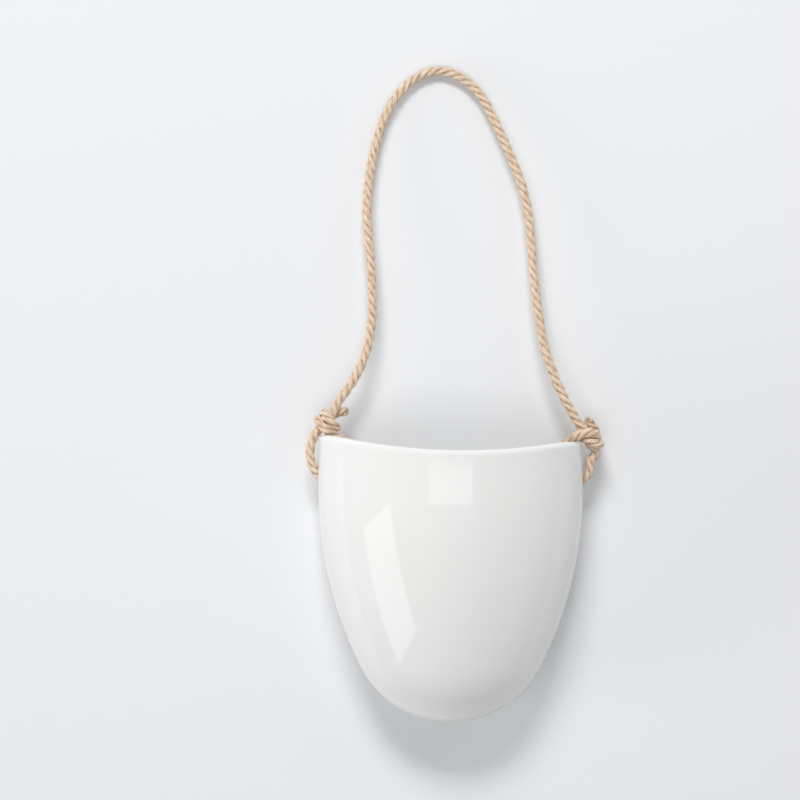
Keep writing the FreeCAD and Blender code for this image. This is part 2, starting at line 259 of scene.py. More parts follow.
@dataclass(frozen=True)
class GlazedEarthenware:
    """White earthenware, slip-cast, dipped in a clear white glaze and fired.

    The glaze pools and thins a little, so a reflection's edge wavers and the
    white is not quite even. The flat back was wiped before firing: bare, matt
    and a little warmer.
    """

    glaze: str = "#f3f3f1"
    glaze_thin: str = "#efefec"
    bare: str = "#e4ddd0"
    bare_dark: str = "#d9d1c3"
    iron_speck: str = "#8d8273"
    glaze_roughness: float = 0.045
    bare_roughness: float = 0.85
    glaze_ior: float = 1.52
    pooling_mm: float = 34.0
    waver_mm: float = 26.0
    waver_depth_mm: float = 0.055
    speck_spacing_mm: float = 5.5
    speck_core: float = 0.012  # of the spacing
    speck_rim: float = 0.03  # of the spacing
    speck_strength: float = 0.55
    speck_above: float = 0.965  # of chance from 0 to 1, so few places have one
    clay_grain_mm: float = 0.35
    clay_depth_mm: float = 0.05
    edge_wander_mm: float = 9.0
    edge_wander_depth_mm: float = 0.25
    glazed_to_y_mm: float = -0.15
    bare_from_y_mm: float = -0.01

    def glaze_colour(self, tree: bpy.types.NodeTree, place: Feed) -> Feed:
        """Colour the glaze: a pooled white with pinhead specks of iron under it.

        Args:
            tree: the material's tree.
            place: Object coordinates.

        Returns:
            The colour.
        """
        pooling = lumps(tree, place, self.pooling_mm * MM, detail=3.0)
        white = mix(tree, pooling, linear(self.glaze_thin), linear(self.glaze))
        specks = add_node(
            tree,
            "ShaderNodeTexVoronoi",
            inputs={"Vector": place, "Scale": 1 / (self.speck_spacing_mm * MM)},
        )
        away = specks.outputs["Distance"]
        spot = ramp(tree, away, self.speck_core, self.speck_rim, self.speck_strength, 0.0)
        chance = add_node(
            tree, "ShaderNodeSeparateColor", inputs={0: specks.outputs["Color"]}
        ).outputs["Red"]
        has_one = reckon(tree, "GREATER_THAN", chance, self.speck_above)
        speck = reckon(tree, "MULTIPLY", spot, has_one)
        return mix(tree, speck, white, linear(self.iron_speck))

    def bareness(self, tree: bpy.types.NodeTree, place: Feed) -> Feed:
        """Tell the bare back from the glaze, which ends in a soft, uneven line.

        Args:
            tree: the material's tree.
            place: Object coordinates.

        Returns:
            0 on the glaze and 1 on the bare back.
        """
        y = add_node(tree, "ShaderNodeSeparateXYZ", inputs={0: place}).outputs["Y"]
        edge = lumps(tree, place, self.edge_wander_mm * MM, detail=2.0)
        depth = self.edge_wander_depth_mm * MM
        uneven = reckon(tree, "MULTIPLY_ADD", edge, depth, y)
        return ramp(tree, uneven, self.glazed_to_y_mm * MM, self.bare_from_y_mm * MM)

    def material(self) -> bpy.types.Material:
        """Build the material.

        Returns:
            The material, which reads Object coordinates in metres.
        """
        material, tree = start_material("glazed_white_earthenware")
        place = add_node(tree, "ShaderNodeTexCoord").outputs["Object"]
        bareness = self.bareness(tree, place)
        grain = lumps(tree, place, self.clay_grain_mm * MM, detail=4.0)
        clay = mix(tree, grain, linear(self.bare_dark), linear(self.bare))
        waver = lumps(tree, place, self.waver_mm * MM, detail=1.5)
        glaze_bump = bumped(tree, waver, self.waver_depth_mm * MM)
        grain_height = reckon(tree, "MULTIPLY", grain, bareness)
        bump = bumped(tree, grain_height, self.clay_depth_mm * MM, Normal=glaze_bump)
        colour = mix(tree, bareness, self.glaze_colour(tree, place), clay)
        matt = ramp(tree, bareness, 0.0, 1.0, self.glaze_roughness, self.bare_roughness)
        shader = add_node(
            tree,
            "ShaderNodeBsdfPrincipled",
            inputs={
                "Base Color": colour,
                "Roughness": matt,
                "IOR": self.glaze_ior,
                "Normal": bump,
            },
        )
        end_material(tree, shader)
        return material


@dataclass(frozen=True)
class JuteRope:
    """Natural jute, spun into yarn and laid up as three strands, undyed.

    Long fibres lie nearly along the rope, straw to tan, with a painted shade of
    brown down between the strands and yarns, and paler loose ends standing off
    all round. Quite matt.
    """

    straw: str = "#f5e2ca"
    tan: str = "#c9a07b"
    painted_groove_shade: str = "#90694a"
    loose_fibre: str = "#eddfcc"
    roughness: float = 0.88
    ior: float = 1.5
    sheen: float = 0.25
    sheen_roughness: float = 0.5
    fibre_width_mm: float = 0.42  # drawn coarser than the real 0.05 mm, to show
    fibre_length_mm: float = 2.6
    streak_from: float = 0.32
    streak_to: float = 0.66
    tone_width_mm: float = 2.0
    tone_length_mm: float = 5.0
    tone_strength: float = 0.9
    tone_shift: float = -0.28
    painted_shade_from: float = 0.1  # of the painted shade mark, where painted shade between the strands starts
    painted_shade_share: float = 0.85
    bump_mm: float = 0.16

    def streaks(
        self,
        tree: bpy.types.NodeTree,
        width: float,
        length: float,
        detail: float,
        roughness: float = 0.5,
    ) -> Feed:
        """Add a pattern that is drawn out along the strand.

        Args:
            tree: the material's tree.
            width: how wide its streaks are, in mm.
            length: how long they are, in mm.
            detail: how many finer layers it has.
            roughness: how strong those are.

        Returns:
            The pattern, about 0 to 1.
        """
        spot = add_node(tree, "ShaderNodeUVMap", {"uv_map": "fibres"}).outputs["UV"]
        inputs = {"Vector": spot, "Scale": (1 / width, 1 / length, 1.0)}
        place = add_node(tree, "ShaderNodeMapping", inputs=inputs).outputs["Vector"]
        return lumps(tree, place, 1.0, detail, roughness)

    def material(self) -> bpy.types.Material:
        """Build the material.

        Returns:
            The material. It reads the rope's own map, "fibres", whose first
            number runs round a strand and whose second runs along it, both in
            mm, the attribute "depth", which marks where painted shade goes down
            between the strands and yarns, and the attribute "loose".
        """
        material, tree = start_material("jute_three_strand")
        fibres = self.streaks(tree, self.fibre_width_mm, self.fibre_length_mm, 3.0, 0.62)
        tone = self.streaks(tree, self.tone_width_mm, self.tone_length_mm, 2.0)
        tone = reckon(tree, "MULTIPLY_ADD", tone, self.tone_strength, self.tone_shift)
        streak = ramp(tree, fibres, self.streak_from, self.streak_to)
        share = reckon(tree, "ADD", streak, tone, clamp=True)
        straw = mix(tree, share, linear(self.tan), linear(self.straw))
        depth, loose = (
            add_node(tree, "ShaderNodeAttribute", {"attribute_name": name}).outputs["Fac"]
            for name in ("depth", "loose")
        )
        # painted shade: the groove brown is mixed in down between strands and yarns, by the "depth" mark
        painted_shade = ramp(tree, depth, self.painted_shade_from, 1.0, 0.0, self.painted_shade_share)
        body = mix(tree, painted_shade, straw, linear(self.painted_groove_shade))
        shader = add_node(
            tree,
            "ShaderNodeBsdfPrincipled",
            inputs={
                "Base Color": mix(tree, loose, body, linear(self.loose_fibre)),
                "Roughness": self.roughness,
                "IOR": self.ior,
                "Sheen Weight": self.sheen,
                "Sheen Roughness": self.sheen_roughness,
                "Normal": bumped(tree, fibres, self.bump_mm * MM),
            },
        )
        end_material(tree, shader)
        return material


@dataclass(frozen=True)
class PaintedWall:
    """Smooth wall in matt off-white paint, which keeps the planter's soft shadow.

    It is clear from behind, and clear to what lies within a few millimetres of
    it, so that the planter's back isn't left in the dark in the other views.
    """

    paint: str = "#eeeff1"
    roughness: float = 0.9
    clear_within_mm: float = 4.0
    solid_beyond_mm: float = 12.0

    def material(self) -> bpy.types.Material:
        """Build the material.

        Returns:
            The material.
        """
        material, tree = start_material("matt_wall_paint")
        paint = add_node(
            tree,
            "ShaderNodeBsdfPrincipled",
            inputs={
                "Base Color": linear(self.paint),
                "Roughness": self.roughness,
                "Specular IOR Level": 0.0,
            },
        )
        clear = add_node(tree, "ShaderNodeBsdfTransparent")
        way = add_node(tree, "ShaderNodeLightPath").outputs["Ray Length"]
        behind = add_node(tree, "ShaderNodeNewGeometry").outputs["Backfacing"]
        within, beyond = self.clear_within_mm * MM, self.solid_beyond_mm * MM
        near = ramp(tree, way, within, beyond, 1.0, 0.0)
        shader = add_node(
            tree,
            "ShaderNodeMixShader",
            inputs={
                0: reckon(tree, "MAXIMUM", behind, near),
                1: paint.outputs["BSDF"],
                2: clear.outputs["BSDF"],
            },
        )
        end_material(tree, shader)
        return material


# --------------------------------------------------------------------- studio


@dataclass(frozen=True)
class Softbox:
    """One flat lamp, turned to the planter.

    Args:
        name: what it is.
        towards: the direction from the planter to the lamp.
        distance: how far off it stands, in metres.
        size: its width and height, in metres.
        glow: how bright its face is, where white paper in full light is 1.
        colour: the colour of its light.
        reach: whether it lights things or is only mirrored.
        roll: its turn about its own axis, in degrees.
    """

    name: str
    towards: Point
    distance: float
    size: tuple[float, float]
    glow: float
    colour: str = "#ffffff"
    reach: Reach = Reach.LIGHTS
    roll: float = 0.0

    def build(self, aim: Vector) -> bpy.types.Object:
        """Set the lamp up.

        Args:
            aim: the point that it faces.

        Returns:
            The lamp's object.
        """
        data = bpy.data.lights.new(self.name, "AREA")
        data.shape = "RECTANGLE"
        data.size, data.size_y = self.size
        data.energy = self.glow * math.pi * self.size[0] * self.size[1]
        data.color = linear(self.colour)[:3]
        lamp = bpy.data.objects.new(self.name, data)
        bpy.context.scene.collection.objects.link(lamp)
        direction = Vector(self.towards).normalized()
        lamp.location = aim + direction * self.distance
        turn = direction.to_track_quat("Z", "Y").to_matrix().to_4x4()
        roll = Quaternion((0, 0, 1), math.radians(self.roll))
        lamp.rotation_mode = "QUATERNION"
        lamp.rotation_quaternion = turn.to_quaternion() @ roll
        lamp.visible_camera = False
        if self.reach is Reach.MIRRORED:
            lamp.visible_diffuse = False
        else:
            lamp.visible_glossy = False
        return lamp


@dataclass
class Studio:
    """The wall behind the planter, the soft light on it and the camera."""

    wall_size: float = 5.0
    wall_gap: float = 0.0006
    camera_place: Point = (-0.02004, -1.622, -0.1756)
    frame_width: float = 0.428
    frame_distance: float = 1.6
    sensor_mm: float = 36.0
    aim: Point = (0.007, -0.04, -0.26)
    room_glow: float = 0.315
    room_colour: str = "#f8fafc"
    beyond_colour: str = "#e9eaec"
    lamps: list[Softbox] = field(
        default_factory=lambda: [
            Softbox("window_key", (-0.100, -0.706, 0.701), 2.4, (0.9, 0.55), 19.9),
            Softbox("left_bounce", (-0.955, -0.17, -0.24), 2.0, (0.9, 0.9), 4.65),
            Softbox("front_fill", (-0.10, -0.97, -0.22), 2.0, (1.2, 0.9), 2.7),
            Softbox("right_fill", (0.66, -0.55, 0.51), 2.0, (0.9, 0.9), 0.9),
            Softbox(
                "mirrored_window",
                (0.0, -0.9994, -0.0350),
                2.2,
                (1.12, 0.17),
                1.5,
                reach=Reach.MIRRORED,
            ),
            Softbox(
                "mirrored_door",
                (-0.709, -0.587, -0.39),
                1.8,
                (0.85, 1.08),
                1.6,
                reach=Reach.MIRRORED,
                roll=14,
            ),
        ]
    )

    def set_camera(self) -> bpy.types.Object:
        """Set up the camera, straight on to the wall, as the photograph was taken.

        Returns:
            The camera's object.
        """
        data = bpy.data.cameras.new("camera")
        data.sensor_width = self.sensor_mm
        data.lens = self.sensor_mm * self.frame_distance / self.frame_width
        camera = bpy.data.objects.new("camera", data)
        bpy.context.scene.collection.objects.link(camera)
        camera.location = self.camera_place
        camera.rotation_euler = (math.radians(90), 0, 0)
        bpy.context.scene.camera = camera
        return camera

    def build_wall(self) -> bpy.types.Object:
        """Put the wall up just behind the planter's flat back.

        Returns:
            The wall, which isn't part of the object.
        """
        deselect_all()
        bpy.ops.mesh.primitive_plane_add(
            size=self.wall_size,
            location=(0, self.wall_gap, self.aim[2]),
            rotation=(math.radians(90), 0, 0),
        )
        wall = bpy.context.object
        wall.name = "wall"
        settle(wall)
        wall.data.materials.append(PaintedWall().material())
        return wall

    def light(self) -> None:
        """Set up the lamps and the room's own light."""
        for lamp in self.lamps:
            lamp.build(Vector(self.aim))
        world = bpy.data.worlds.new("pale_room")
        bpy.context.scene.world = world
        world.use_nodes = True
        tree = world.node_tree
        tree.nodes.clear()
        room = add_node(
            tree,
            "ShaderNodeBackground",
            inputs={"Color": linear(self.room_colour), "Strength": self.room_glow},
        )
        beyond = add_node(
            tree,
            "ShaderNodeBackground",
            inputs={"Color": linear(self.beyond_colour), "Strength": 1.0},
        )
        path = add_node(tree, "ShaderNodeLightPath")
        seen = add_node(
            tree,
            "ShaderNodeMixShader",
            inputs={
                0: path.outputs["Is Camera Ray"],
                1: room.outputs[0],
                2: beyond.outputs[0],
            },
        )
        add_node(tree, "ShaderNodeOutputWorld", inputs={"Surface": seen.outputs[0]})
        bpy.context.scene.view_settings.view_transform = "Standard"


# ------------------------------------------------------------------------ pot


@dataclass
class Pot:
    """The glazed half-oval pot: round to the room, flat to the wall, open at the top.

    Lengths are in metres. Heights are below the point that the rope hangs from.
    """

    middle_x: float = 0.007
    side_y: float = -0.022
    half_width: float = 0.0708
    front_depth: float = 0.052
    back_depth: float = 0.034
    wall: float = 0.0045
    flank_radius: float = 0.214
    flank_top_z: float = -0.22263
    nose_radius: float = 0.054
    nose_z: float = -0.294
    nose_from_z: float = -0.31809
    rim_radius: float = 0.305
    rim_low_x: float = 0.0133
    rim_low_z: float = -0.2034
    rim_fall: float = math.radians(2)
    corner_droop: dict[Side, float] = field(
        default_factory=lambda: {Side.LEFT: 0.0008, Side.RIGHT: 0.0018}
    )
    corner_from: float = 0.8  # of the half width
    back_rounding: float = 0.003
    lip_outer_round: float = 0.0029
    lip_inner_round: float = 0.0013
    lip_steps: int = 6
    outside_from: float = 0.975  # of the way out to the pot's outside
    sharp_from: float = 0.9  # radians between two faces
    hole_round: float = 0.0008
    hole_steps: int = 3
    hole_radius: float = 0.004
    hole_edge_within: float = 0.006
    hole_rim_within: float = 0.008
    hole_ease_within: float = 0.0095
    ease_passes: int = 12
    ease_share: float = 0.5
    hole_y: float = -0.017
    hole_z: dict[Side, float] = field(
        default_factory=lambda: {Side.LEFT: -0.217, Side.RIGHT: -0.219}
    )
    columns: int = 192
    side_rows: int = 22
    lip_rows: int = 4  # rows left out under the rim, where its rounding goes
    row_height: float = 0.002

    def reach_at(self, z: float) -> float:
        """Give the pot's half width at a height.

        Args:
            z: the height.

        Returns:
            The half width there, from the pot's middle line to its side.
        """
        if z >= self.flank_top_z:
            return self.half_width
        if z >= self.nose_from_z:
            flank_centre = self.half_width - self.flank_radius
            drop = z - self.flank_top_z
            return flank_centre + math.sqrt(self.flank_radius**2 - drop**2)
        drop = z - self.nose_z
        return math.sqrt(max(self.nose_radius**2 - drop**2, 0.0))

    def rim_at(self, x: float, y: float) -> float:
        """Give the height of the rim, which dips in the middle and falls to the wall.

        Args:
            x: a place along the wall.
            y: its distance in front of the wall, negative.

        Returns:
            The rim's height there.
        """
        off = x - self.rim_low_x
        dip = self.rim_radius - math.sqrt(self.rim_radius**2 - off**2)
        reach = (x - self.middle_x) / self.half_width
        past = (abs(reach) - self.corner_from) / (1 - self.corner_from)
        near_corner = min(max(past, 0.0), 1.0) ** 2
        droop = self.corner_droop[Side.RIGHT if reach > 0 else Side.LEFT]
        fall = (y - self.side_y) * math.tan(self.rim_fall)
        return self.rim_low_z + dip - fall - droop * near_corner

    def profile(self) -> list[tuple[float, float]]:
        """List the outline's points, from the top of the side down to the nose.

        Returns:
            (half width, height) of each row.
        """
        points = []
        top = self.flank_top_z + self.side_rows * self.row_height
        for row in (0, *range(self.lip_rows, self.side_rows)):
            points.append((self.half_width, top - row * self.row_height))
        z = self.flank_top_z
        rows = round((self.flank_top_z - self.nose_from_z) / self.row_height)
        for row in range(rows):
            z = self.flank_top_z + (self.nose_from_z - self.flank_top_z) * row / rows
            points.append((self.reach_at(z), z))
        start = math.asin((self.nose_z - self.nose_from_z) / self.nose_radius)
        turns = round((math.pi / 2 - start) * self.nose_radius / self.row_height)
        for row in range(turns):
            angle = start + (math.pi / 2 - start) * row / turns
            points.append(
                (
                    self.nose_radius * math.cos(angle),
                    self.nose_z - self.nose_radius * math.sin(angle),
                )
            )
        points.append((0.0, self.nose_z - self.nose_radius))
        return points

    def spin_blank(self) -> bpy.types.Object:
        """Draw the outline, point by point, and spin it into a round blank.

        Returns:
            The blank, an open shell.
        """
        points = self.profile()
        middle = Vector((self.middle_x, self.side_y, 0))
        deselect_all()
        bpy.ops.mesh.primitive_circle_add(
            vertices=3, radius=self.wall, location=middle, enter_editmode=True
        )
        bpy.ops.mesh.merge(type="CENTER")
        start = Vector((points[0][0], 0, points[0][1]))
        bpy.ops.transform.translate(value=start)
        for before, after in zip(points, points[1:]):
            step = (after[0] - before[0], 0, after[1] - before[1])
            bpy.ops.mesh.extrude_region_move(TRANSFORM_OT_translate={"value": step})
        bpy.ops.mesh.select_all(action="SELECT")
        bpy.ops.mesh.spin(
            steps=self.columns,
            angle=math.tau,
            center=middle,
            axis=(0, 0, 1),
        )
        bpy.ops.mesh.select_all(action="SELECT")
        bpy.ops.mesh.remove_doubles(threshold=NEAR)
        bpy.ops.mesh.normals_make_consistent(inside=False)
        bpy.ops.object.mode_set(mode="OBJECT")
        blank = bpy.context.object
        blank.name = "glazed_pot"
        settle(blank)
        return blank

    def squash(self, blank: bpy.types.Object) -> None:
        """Press the round blank flatter, more at the back than at the front."""
        for depth, is_front in ((self.front_depth, True), (self.back_depth, False)):
            select_only(blank)
            bpy.ops.object.mode_set(mode="EDIT")
            bpy.ops.mesh.select_mode(type="VERT")
            bpy.ops.mesh.select_all(action="DESELECT")
            mesh = bmesh.from_edit_mesh(blank.data)
            for vertex in mesh.verts:
                off = vertex.co.y - self.side_y
                vertex.select = off < -NEAR if is_front else off > NEAR
            bmesh.update_edit_mesh(blank.data)
            bpy.ops.transform.resize(
                value=(1, depth / self.half_width, 1),
                center_override=(self.middle_x, self.side_y, 0),
            )
            bpy.ops.object.mode_set(mode="OBJECT")

    def shape(self, blank: bpy.types.Object) -> None:
        """Bring the top to the rim's dip and press the back flat to the wall."""
        top = self.flank_top_z + self.side_rows * self.row_height
        for vertex in blank.data.vertices:
            place = vertex.co
            if place.z > self.flank_top_z:
                share = (place.z - self.flank_top_z) / (top - self.flank_top_z)
                rim = self.rim_at(place.x, place.y)
                place.z = self.flank_top_z + (rim - self.flank_top_z) * share
            place.y = smooth_least(place.y, 0.0, self.back_rounding)

    def side_x(self, y: float, side: Side) -> float:
        """Give the place of the straight side's face, at a distance from the wall."""
        depth = self.front_depth if y < self.side_y else self.back_depth
        share = math.sqrt(1 - ((y - self.side_y) / depth) ** 2)
        return self.middle_x + side.value * self.half_width * share

    def pierce(self, blank: bpy.types.Object, side: Side) -> None:
        """Open one rope hole: faces taken out, and the grid eased into a round edge.

        Args:
            blank: the open shell.
            side: which side of the pot.
        """
        z = self.hole_z[side]
        mesh = bmesh.new()
        mesh.from_mesh(blank.data)

        def off_axis(place: Vector) -> float:
            """Give a point's distance from the hole's middle line."""
            if (place.x - self.middle_x) * side.value < 0:
                return math.inf
            return math.hypot(place.y - self.hole_y, place.z - z)

        gone = [
            f
            for f in mesh.faces
            if off_axis(f.calc_center_median()) < self.hole_radius
        ]
        bmesh.ops.delete(mesh, geom=gone, context="FACES")
        near = {v for v in mesh.verts if off_axis(v.co) < self.hole_ease_within}
        edge = {
            v for v in near if v.is_boundary and off_axis(v.co) < self.hole_rim_within
        }
        around = [v for v in mesh.verts if v in near and v not in edge]
        for vertex in edge:
            stretch = self.hole_radius / off_axis(vertex.co)
            vertex.co.y = self.hole_y + (vertex.co.y - self.hole_y) * stretch
            vertex.co.z = z + (vertex.co.z - z) * stretch
            vertex.co.x = self.side_x(vertex.co.y, side)
        for _ in range(self.ease_passes):
            moved = {
                v: sum((e.other_vert(v).co for e in v.link_edges), Vector())
                / len(v.link_edges)
                for v in around
                if v.co.z > self.flank_top_z + 1e-5
                and v.co.z < self.rim_at(v.co.x, v.co.y) - 1e-4
            }
            for vertex, place in moved.items():
                vertex.co = vertex.co.lerp(place, self.ease_share)
                vertex.co.x = self.side_x(vertex.co.y, side)
        mesh.to_mesh(blank.data)
        mesh.free()

    def thicken(self, blank: bpy.types.Object) -> None:
        """Give the shell its wall, inwards."""
        select_only(blank)
        wall = blank.modifiers.new("wall", "SOLIDIFY")
        wall.thickness = self.wall
        wall.offset = -1
        wall.use_even_offset = True
        bpy.ops.object.modifier_apply(modifier=wall.name)

    def is_outside(self, place: Vector) -> bool:
        """Tell whether a point of the lip lies on the pot's outside."""
        depth = self.front_depth if place.y < self.side_y else self.back_depth
        across = (place.x - self.middle_x) / self.half_width
        deep = (place.y - self.side_y) / depth
        is_far_out = math.hypot(across, deep) > self.outside_from
        return is_far_out or place.y > -self.wall / 2

    def round_edges(self, blank: bpy.types.Object, width: float, edges: Edges) -> None:
        """Round one set of sharp edges.

        Args:
            blank: the pot.
            width: the rounding's radius.
            edges: which edges.
        """
        select_only(blank)
        bpy.ops.object.mode_set(mode="EDIT")
        bpy.ops.mesh.select_mode(type="EDGE")
        bpy.ops.mesh.select_all(action="DESELECT")
        mesh = bmesh.from_edit_mesh(blank.data)
        for edge in mesh.edges:
            has_two = len(edge.link_faces) == 2
            is_sharp = has_two and edge.calc_face_angle() > self.sharp_from
            middle = (edge.verts[0].co + edge.verts[1].co) / 2
            near_hole = any(
                math.hypot(middle.y - self.hole_y, middle.z - z) < self.hole_edge_within
                and (middle.x - self.middle_x) * side.value > 0
                for side, z in self.hole_z.items()
            )
            if near_hole:
                kind = Edges.HOLES
            else:
                kind = Edges.LIP_OUT if self.is_outside(middle) else Edges.LIP_IN
            edge.select = is_sharp and kind is edges
        bmesh.update_edit_mesh(blank.data)
        bpy.ops.mesh.bevel(
            offset=width,
            offset_type="OFFSET",
            segments=self.hole_steps if edges is Edges.HOLES else self.lip_steps,
            profile=0.5,
            affect="EDGES",
            clamp_overlap=True,
        )
        bpy.ops.object.mode_set(mode="OBJECT")

    def build(self) -> bpy.types.Object:
        """Make the pot.

        Returns:
            The glazed pot, which stands for the node planter.
        """
        pot = self.spin_blank()
        self.squash(pot)
        self.shape(pot)
        for side in Side:
            self.pierce(pot, side)
        self.thicken(pot)
        self.round_edges(pot, self.lip_outer_round, Edges.LIP_OUT)
        self.round_edges(pot, self.lip_inner_round, Edges.LIP_IN)
        self.round_edges(pot, self.hole_round, Edges.HOLES)
        select_only(pot)
        bpy.ops.object.shade_smooth()
        pot.data.materials.append(GlazedEarthenware().material())
        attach(pot, "pot")
        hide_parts("planter")
        return pot


# ----------------------------------------------------------------------- rope


@dataclass(frozen=True)
class Lay:
    """The rope's middle line, the directions across it and the strands laid round it.

    Each array has a row for each point along the rope. Lengths are in metres.
    """

    line: np.ndarray
    along: np.ndarray
    across: np.ndarray
    upright: np.ndarray
    strands: list[np.ndarray]


@dataclass(frozen=True)
class Span:
    """The stretch of rope in one piece, by its first and last point."""

    first: int
    last: int
    cut_first: bool = False
    cut_last: bool = False


def map_flat(mesh: bmesh.types.BMesh, face: bmesh.types.BMFace) -> None:
    """Give a small face its place on the rope's map, seen from the front."""
    fibres = mesh.loops.layers.uv["fibres"]
    for loop in face.loops:
        loop[fibres].uv = (loop.vert.co.x / MM, loop.vert.co.z / MM)


@dataclass(frozen=True)
class Fibre:
    """One loose fibre, a thin bent three-sided spike.

    Args:
        root: where it leaves the strand.
        way: the direction that it leaves in.
        bend: the direction that it bends to.
        length: its length.
        width: its radius at the root.
    """

    root: np.ndarray
    way: np.ndarray
    bend: np.ndarray
    length: float
    width: float

    def add_to(self, mesh: bmesh.types.BMesh) -> None:
        """Add the fibre's faces to a mesh, with its mark as a loose one."""
        loose = mesh.verts.layers.float["loose"]
        aside = np.cross(self.way, self.bend)
        aside /= np.linalg.norm(aside) + TINY
        other = np.cross(self.way, aside)
        other /= np.linalg.norm(other) + TINY
        reach, sag = self.way * self.length, self.bend * self.length
        rings = []
        for share in (0.0, 0.35, 0.7):
            place = self.root + reach * share + sag * share * share
            size = self.width * (1 - 0.6 * share)
            ring = []
            for corner in range(3):
                angle = math.tau * corner / 3
                out = aside * math.cos(angle) + other * math.sin(angle)
                ring.append(mesh.verts.new(place + out * size))
            rings.append(ring)
        tip = mesh.verts.new(self.root + reach + sag)
        for vertex in (*rings[0], *rings[1], *rings[2], tip):
            vertex[loose] = 1.0
        sides = ((0, 1), (1, 2), (2, 0))
        faces = [
            mesh.faces.new((low[a], low[b], high[b], high[a]))
            for low, high in zip(rings, rings[1:])
            for a, b in sides
        ]
        faces += [mesh.faces.new((rings[-1][a], rings[-1][b], tip)) for a, b in sides]
        for face in faces:
            face.smooth = True
            map_flat(mesh, face)


@dataclass(frozen=True)
class Fuzz:
    """The loose fibres along a rope. Pairs are ranges of chance, and sizes are in mm."""

    per_mm: float = 7.0
    root_depth: tuple[float, float] = (0.8, 0.97)  # of the rope's radius
    lean_along: tuple[float, float] = (0.5, 1.0)
    lean_aside: tuple[float, float] = (-0.6, 0.6)
    lean_out: tuple[float, float] = (0.1, 0.55)
    bend_out: tuple[float, float] = (-0.25, 0.3)
    bend_aside: tuple[float, float] = (-0.3, 0.3)
    usual: float = 1.5
    least: float = 0.7
    most: float = 3.6
    stand_off: float = 1.6
    radius: tuple[float, float] = (0.02, 0.04)

    def scatter(
        self,
        mesh: bmesh.types.BMesh,
        lay: Lay,
        span: Span,
        rope: "Rope",
        chance: random.Random,
    ) -> None:
        """Scatter loose fibres along a stretch of rope.

        Args:
            mesh: the mesh that they go into.
            lay: how the rope lies.
            span: the stretch.
            rope: the rope, for its thickness and step.
            chance: the seeded source of chance.
        """
        draw = chance.uniform
        for _ in range(int((span.last - span.first) * rope.step * self.per_mm)):
            i = chance.randint(span.first, span.last - 1)
            angle = draw(0, math.tau)
            out = lay.across[i] * math.cos(angle) + lay.upright[i] * math.sin(angle)
            aside = np.cross(lay.along[i], out)
            depth = rope.diameter / 2 * MM * draw(*self.root_depth)
            lean = chance.choice((-1, 1))
            way = (
                lay.along[i] * lean * draw(*self.lean_along)
                + aside * draw(*self.lean_aside)
                + out * draw(*self.lean_out)
            )
            way /= np.linalg.norm(way)
            bend = out * draw(*self.bend_out) + aside * draw(*self.bend_aside)
            length = min(chance.expovariate(1 / self.usual) + self.least, self.most) * MM
            stands_off = float(np.dot(way + bend, out)) * length
            length *= min(1.0, self.stand_off * MM / max(stands_off, TINY))
            root = lay.line[i] + out * depth
            Fibre(root, way, bend, length, draw(*self.radius) * MM).add_to(mesh)


@dataclass(frozen=True)
class Brush:
    """The fibres of a cut end. Pairs are ranges of chance, and sizes are in mm."""

    per_strand: int = 70
    root_depth: float = 0.2
    spread: tuple[float, float] = (0.0, 0.5)
    bend: tuple[float, float] = (-0.2, 0.4)
    length: tuple[float, float] = (0.5, 1.7)
    radius: tuple[float, float] = (0.03, 0.06)

    def stand(
        self,
        mesh: bmesh.types.BMesh,
        ends: list[np.ndarray],
        way: np.ndarray,
        strand_radius: float,
        chance: random.Random,
    ) -> None:
        """Let the fibres stand out of a cut end.

        Args:
            mesh: the mesh that they go into.
            ends: the middle of each strand's end.
            way: the direction out of the cut.
            strand_radius: the strands' radius, in mm.
            chance: the seeded source of chance.
        """
        draw = chance.uniform
        side = np.cross(way, (0.3, 0.5, 0.8))  # any direction across the end
        side /= np.linalg.norm(side)
        other = np.cross(way, side)
        for end in ends:
            for _ in range(self.per_strand):
                angle = draw(0, math.tau)
                reach = math.sqrt(chance.random()) * strand_radius * MM
                off = side * math.cos(angle) + other * math.sin(angle)
                root = end + off * reach - way * self.root_depth * MM
                lean = way + off * draw(*self.spread)
                lean /= np.linalg.norm(lean)
                bend = off * draw(*self.bend)
                length = draw(*self.length) * MM
                Fibre(root, lean, bend, length, draw(*self.radius) * MM).add_to(mesh)


@dataclass(frozen=True)
class Yarns:
    """How yarns and lumps shape a strand's outside, as shares of its radius.

    Lengths are in mm.
    """

    count: int = 4
    pitch: float = 15.0
    fill: float = 1.04
    depth: float = 0.085
    lump: float = 0.08
    lump_length: float = 4.0
    lump_turn: float = 1.6
    lump_shift: float = 31.0  # from strand to strand, so that no two are alike
    swell: float = 0.06
    swell_length: float = 9.0
    swell_shift: float = 7.7
    swell_row: float = 3.1

    def shape_at(self, angle: float, run: float, number: int) -> tuple[float, float]:
        """Shape one place on a strand.

        Args:
            angle: how far round the strand it is.
            run: how far along the rope it is.
            number: which strand it is on.

        Returns:
            How far out the place is, as a share of the strand's radius, and
            from -1 between two yarns to 1 on top of one.
        """
        # yarns twist against the strands, so that they run nearly along the rope
        twist = angle - run * math.tau / self.pitch
        yarn = math.cos(self.count * twist)
        x, y = math.cos(twist) * self.lump_turn, math.sin(twist) * self.lump_turn
        z = run / self.lump_length + self.lump_shift * number
        lump = self.depth * yarn + self.lump * noise.noise(Vector((x, y, z)))
        spot = (self.swell_shift * number, run / self.swell_length, self.swell_row)
        return self.fill + lump + self.swell * noise.noise(Vector(spot)), yarn


